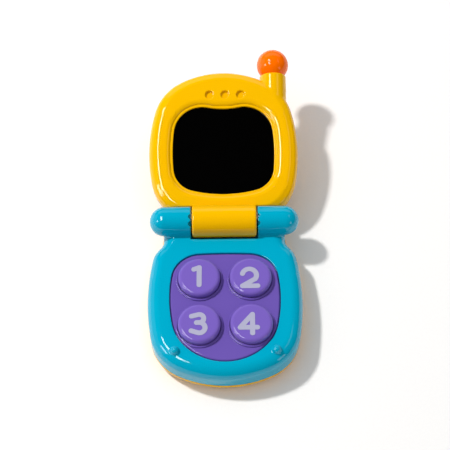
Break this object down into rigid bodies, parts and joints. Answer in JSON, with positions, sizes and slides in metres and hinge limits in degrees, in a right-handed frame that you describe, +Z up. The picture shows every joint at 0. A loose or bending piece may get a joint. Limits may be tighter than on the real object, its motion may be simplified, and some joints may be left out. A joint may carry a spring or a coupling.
{
  "type": "toy flip phone",
  "caption": "Toy flip phone with a hinged lid and screen, a ball-tipped antenna stub, and big domed push buttons on a rounded keypad half, with a battery bay underneath.",
  "frame": {"origin": "on the flat underside, on the middle line and 1 mm towards the foot from the widest part", "axes": "+Y from the keypad's foot towards the lid, +X to the right seen from above, +Z up from the underside; the lid is open at rest, resting on its stop"},
  "size_m": [0.0858, 0.1992, 0.0488],
  "materials": {
    "yellow_plastic": "glossy",
    "blue_plastic": "glossy",
    "purple_plastic": "glossy",
    "button_purple": "glossy",
    "numeral_lilac": "satin",
    "orange_plastic": "glossy",
    "screen_black": "polished",
    "inner_white": "matte",
    "steel": "zinc plated",
    "nickel": "nickel plated",
    "magnet_steel": "plated",
    "board_green": "lacquered",
    "chip_black": "matte",
    "knob_black": "satin",
    "cone_black": "matte",
    "wire_red": "satin",
    "silicone": "matte",
    "cell_jacket": "printed jacket"
  },
  "bodies": {
    "base": {"base_front_shell": "blue_plastic", "base_back_shell": "yellow_plastic", "keypad_plate": "purple_plastic", "circuit_board": "board_green", "board_screws": "steel", "sound_chip": "chip_black", "speaker_frame": "steel", "speaker_cone": "cone_black", "speaker_magnet": "magnet_steel", "speaker_leads": "wire_red", "battery_cell_1": "cell_jacket", "battery_cell_2": "cell_jacket", "battery_link_contact": "nickel", "battery_terminal_contacts": "nickel", "battery_door": "yellow_plastic", "battery_door_screw": "steel", "case_screws": "steel", "power_switch_body": "chip_black", "hinge_pin": "steel", "return_dome_1": "silicone", "return_dome_2": "silicone", "return_dome_3": "silicone", "return_dome_4": "silicone"},
    "lid": {"lid_front_shell": "yellow_plastic", "lid_back_shell": "yellow_plastic", "screen_panel": "screen_black", "screen_retainer": "inner_white", "lid_screws": "steel", "antenna_ball": "orange_plastic", "hinge_bushings": "inner_white"},
    "button_1": {"button_1": "button_purple", "numeral_1": "numeral_lilac"},
    "button_2": {"button_2": "button_purple", "numeral_2": "numeral_lilac"},
    "button_3": {"button_3": "button_purple", "numeral_3": "numeral_lilac"},
    "button_4": {"button_4": "button_purple", "numeral_4": "numeral_lilac"},
    "power_switch": {"power_switch_knob": "knob_black"}
  },
  "joints": [
    {"name": "lid_hinge", "type": "hinge", "parent": "base", "child": "lid", "pos_m": [0, 0.047, 0.0233], "axis": [1, 0, 0], "range_deg": [0, 164.4]},
    {"name": "button_1_press", "type": "slide", "parent": "base", "child": "button_1", "axis": [0, 0, -1], "range_m": [0, 0.0018], "stiffness_N_per_m": 300, "deforming": ["return_dome_1"]},
    {"name": "button_2_press", "type": "slide", "parent": "base", "child": "button_2", "axis": [0, 0, -1], "range_m": [0, 0.0018], "stiffness_N_per_m": 300, "deforming": ["return_dome_2"]},
    {"name": "button_3_press", "type": "slide", "parent": "base", "child": "button_3", "axis": [0, 0, -1], "range_m": [0, 0.0018], "stiffness_N_per_m": 300, "deforming": ["return_dome_3"]},
    {"name": "button_4_press", "type": "slide", "parent": "base", "child": "button_4", "axis": [0, 0, -1], "range_m": [0, 0.0018], "stiffness_N_per_m": 300, "deforming": ["return_dome_4"]},
    {"name": "power_switch_slide", "type": "slide", "parent": "base", "child": "power_switch", "axis": [1, 0, 0], "range_m": [0, 0.003]}
  ]
}
